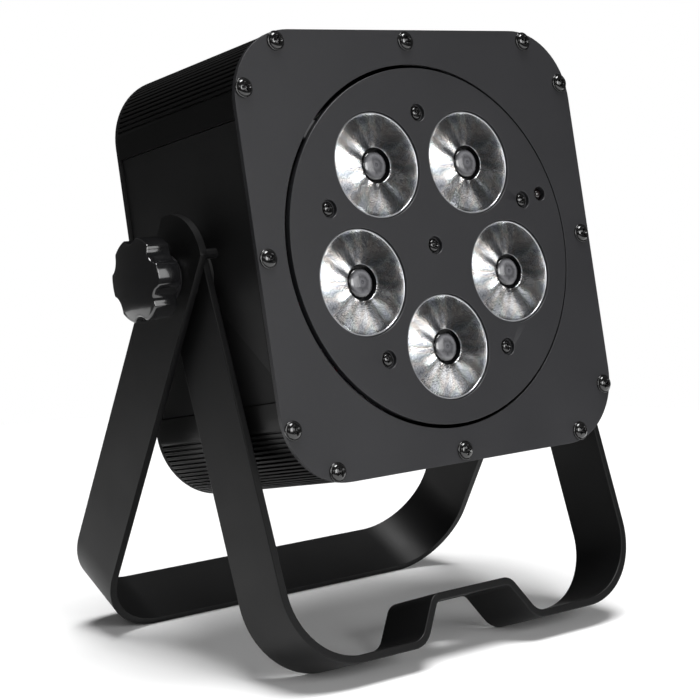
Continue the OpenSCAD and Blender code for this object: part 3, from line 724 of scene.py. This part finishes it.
grey_tab = coating("grey_tab", (0.16, 0.16, 0.165), 0.45, spread=0.1, cloud=200, grain=2000, depth=0.02)
sink_metal = brushed("sink_metal", (0.6, 0.61, 0.63), 0.35)
brass = brushed("brass", (0.72, 0.55, 0.26), 0.3)
zinc = brushed("zinc", (0.6, 0.61, 0.62), 0.32)
dark_steel = brushed("dark_steel", (0.12, 0.12, 0.125), 0.35)
gold = brushed("gold", (0.83, 0.68, 0.38), 0.25)

add_camera()
add_world()
add_floor()
add_area_light("key", (-0.15, -1.9, 0.8), (0.8, 0.8), 16)
add_area_light("front right", (0.72, -1.75, 0.72), (0.7, 0.7), 4)
add_area_light("left fill", (-1.9, 0.1, 0.9), (0.6, 1.2), 0.3)
add_area_light("edge light", (-1.4, -1.15, 1.0), (0.4, 0.6), 3)
add_sun("overhead", (0.0, -0.12, 1.0), 3.6, 30)

for node, finish in (
    ("disc_tabs", grey_tab), ("led_emitters", emitter), ("led_board", board_white), ("heat_sink", sink_metal),
    ("standoffs", brass), ("ir_receiver", ir_dark), ("led_wires", wire), ("pivot_nut_left", zinc),
    ("pivot_nut_right", zinc), ("power_board", board_green), ("power_transformer", component),
    ("power_capacitors", component), ("control_board", board_green), ("display_module", component),
    ("display_window", display_tint), ("button_switches", component), ("dmx_input_pins", gold),
    ("dmx_latch", zinc), ("inlet_blades", zinc), ("liner_washers", rubber), ("spacer_washers", rubber),
    ("knob_washer_left", dark_steel), ("knob_washer_right", dark_steel), ("stud_left", zinc),
    ("stud_right", zinc), ("stop_pins", bracket_coat),
):
    paint(node, finish)
for number in range(1, 6):
    paint("lens_holder_%d" % number, moulded)

# CAD pieces that only get rounded edges: node, body, edge width in mm, material and slot
edged = [
    ("front_plate", "head", 0.35, plate_coat, "plate_coat"),
    ("lens_disc", "head", 0.3, plate_coat, "plate_coat"),
    ("top_shell", "head", 0.18, shell_coat, "shell_coat"),
    ("bottom_shell", "head", 0.18, shell_coat, "shell_coat"),
    ("side_panel_left", "head", 0.3, panel_coat, "panel_coat"),
    ("side_panel_right", "head", 0.3, panel_coat, "panel_coat"),
    ("rear_panel", "head", 0.3, panel_coat, "panel_coat"),
    ("front_bracket", "front_bracket", 0.5, bracket_coat, "bracket_coat"),
    ("rear_bracket", "rear_bracket", 0.5, bracket_coat, "bracket_coat"),
]
for button in ("button_1", "button_2", "button_3", "button_4"):
    edged.append((button, button, 0.25, moulded, "button_black"))
edged += [
    ("dmx_input", "head", 0.3, moulded, "socket_black"),
    ("dmx_output", "head", 0.3, moulded, "socket_black"),
    ("power_inlet", "head", 0.4, moulded, "socket_black"),
    ("fuse_drawer", "fuse_drawer", 0.25, moulded, "socket_black"),
    ("safety_eye", "head", 0.2, zinc, "nut_zinc"),
]
for node, body, width, finish, slot in edged:
    softened(node, body, width * MM, finish, slot)

add_screws("plate_screw_set", "plate_screws",
           [facing_front(FRONT_Y, spot) for spot in edge_screw_spots()], PLATE_SCREW)
add_screws("rear_screw_set", "rear_screws",
           [facing_rear(-FRONT_Y, spot) for spot in edge_screw_spots()], REAR_SCREW)
add_screws("disc_screw_set", "disc_screws",
           [facing_front(DISC_Y + COUNTERBORE_H, spot) for spot in disc_screw_spots()], DISC_SCREW)
add_screws("fitting_screw_set", "connector_screws",
           [facing_rear(-FRONT_Y + FITTING_T, spot) for spot in fitting_screw_spots()], FITTING_SCREW)

silver = lens_silver()
dome_glass = dome_with_painted_light()
well_black = coating("well_black", (0.006, 0.006, 0.007), 0.3, spread=0.2, cloud=400, grain=1500,
                     depth=0.01, coat=0.6)
clear_rim = coating("lens_rim", (0.55, 0.56, 0.58), 0.12, metallic=0.6, spread=0.1, cloud=400, grain=1500,
                    depth=0.01)
for number in range(1, 6):
    add_lens(number, silver, well_black, dome_glass, clear_rim)

add_knob("knob_left", -1, knob_black)
add_knob("knob_right", 1, knob_black)
